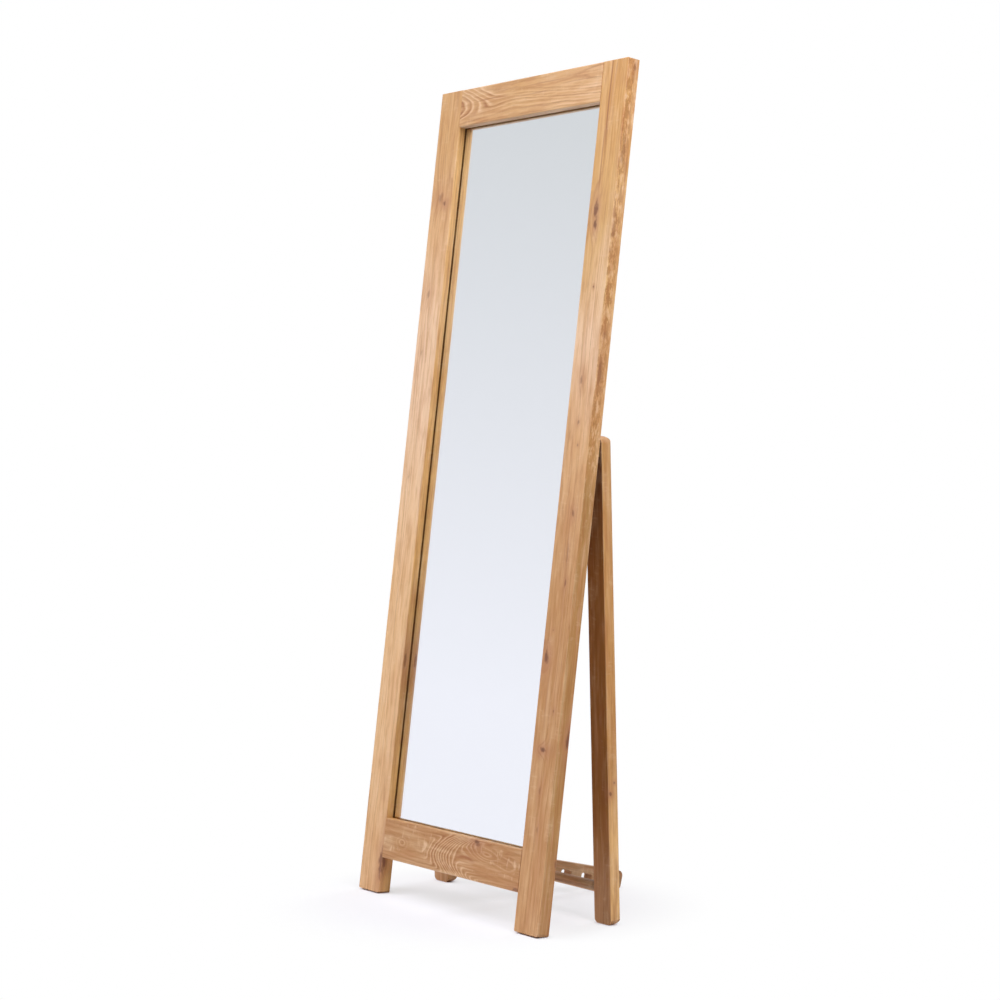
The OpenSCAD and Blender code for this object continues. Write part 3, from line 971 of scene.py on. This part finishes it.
def make_camera():
    data = bpy.data.cameras.new("camera")
    data.lens = LENS_MM
    data.sensor_width = SENSOR_MM
    data.shift_x, data.shift_y = SHIFT
    camera = add_object("camera", data)
    camera.location = CAMERA_AT
    camera.rotation_euler = (math.pi / 2 - CAMERA_DOWN, 0.0, CAMERA_YAW)
    bpy.context.scene.camera = camera


def add_lamp(name, at, target, size, level):
    """A soft lamp. Level 1 lights a facing surface so that its colour renders as written."""
    aim = Vector(target) - Vector(at)
    data = bpy.data.lights.new(name, "AREA")
    data.shape = "RECTANGLE"
    data.size, data.size_y = size
    data.energy = math.pi ** 2 * aim.length ** 2 * level
    lamp = add_object(name, data)
    lamp.location = at
    lamp.rotation_euler = aim.to_track_quat("-Z", "Y").to_euler()


def light_studio():
    add_lamp("front_lamp", at=(-3.2, -3.2, 5.4), target=(0, 0, 0.95), size=(3.2, 2.6), level=0.64)
    add_lamp("fill_lamp", at=(-0.9, -4.3, 1.7), target=(0, 0, 0.95), size=(2.0, 1.6), level=0.15)
    add_lamp("back_lamp", at=(-0.9, 3.9, 3.2), target=(0, 0, 0.9), size=(2.0, 2.0), level=0.40)
    add_lamp("side_lamp", at=(2.3, -0.4, 2.7), target=(0.3, 0, 1.4), size=(1.3, 1.3), level=1.1)


def shown_rays(place):
    """Two masks: the camera's own rays, and those that metal and glass send on."""
    path = "ShaderNodeLightPath"
    camera = place.node(path, {}, {}, "Is Camera Ray")
    glossy = place.node(path, {}, {}, "Is Glossy Ray")
    through = place.node(path, {}, {}, "Is Transmission Ray")
    return camera, glossy.most(through)


def backdrop(place, colour, strength):
    return place.node("ShaderNodeBackground", {}, {"Color": colour, "Strength": strength})


def make_world():
    """White to the camera, a pale wall in the mirror, and a dim even light on the object."""
    world = bpy.data.worlds.new("studio")
    bpy.context.scene.world = world
    world.use_nodes = True
    tree = world.node_tree
    tree.nodes.clear()
    place = Value(tree, None).node("ShaderNodeTexCoord", {}, {}, "Generated")
    camera, sent_on = shown_rays(place)
    rise = place.axes()[2]
    wall = rise.ramp([(WALL_LOW, WALL_WHITE), (WALL_HIGH, WALL_GREY)])
    light = sent_on.between_surfaces(backdrop(place, WHITE, AMBIENT), backdrop(place, wall, 1.0))
    light = camera.between_surfaces(light, backdrop(place, WHITE, 1.0))
    place.node("ShaderNodeOutputWorld", {}, {"Surface": light})


def floor_paint():
    material, place = new_material("studio_floor")
    camera, sent_on = shown_rays(place)
    x, y, _ = place.axes()
    x = x - FLOOR_MIDDLE[0]
    y = y - FLOOR_MIDDLE[1]
    outward = ((x * x + y * y) ** 0.5).smooth(FLOOR_NEAR, FLOOR_FAR)
    open_sky = place.node(
        "ShaderNodeAmbientOcclusion",
        {"samples": CONTACT_SAMPLES, "only_local": False},
        {"Distance": CONTACT_REACH},
        "AO",
    )
    glow = (outward * (1 - FLOOR_GLOW) + FLOOR_GLOW) * open_sky.smooth(CONTACT_SHUT, CONTACT_OPEN)
    lit = place.node("ShaderNodeBsdfDiffuse", {}, {"Color": FLOOR_LIT})
    near = place.node("ShaderNodeBsdfDiffuse", {}, {"Color": FLOOR_SEEN})
    white = place.node("ShaderNodeEmission", {}, {"Color": WHITE, "Strength": 1.0})
    pale = place.node("ShaderNodeEmission", {}, {"Color": WALL_WHITE, "Strength": 1.0})
    far = camera.between_surfaces(pale, white)
    seen = glow.between_surfaces(near, far)
    surface = camera.most(sent_on).between_surfaces(lit, seen)
    place.node("ShaderNodeOutputMaterial", {}, {"Surface": surface})
    return material


def make_floor():
    """A pale floor that keeps the object's shadow near it and turns white further out."""
    mesh = bmesh.new()
    bmesh.ops.create_circle(
        mesh, cap_ends=True, cap_tris=False, segments=FLOOR_SIDES, radius=FLOOR_RADIUS
    )
    floor = add_mesh("floor", mesh)
    floor.data.materials.append(floor_paint())


make_camera()
light_studio()
make_world()
make_floor()
dress_left_stile()
dress_right_stile()
dress_top_rail()
dress_bottom_rail()
dress_left_leg()
dress_right_leg()
dress_cross_dowel()
dress_notched_stay()
dress_fittings()
make_mirror()

bpy.context.scene.view_settings.view_transform = "Standard"
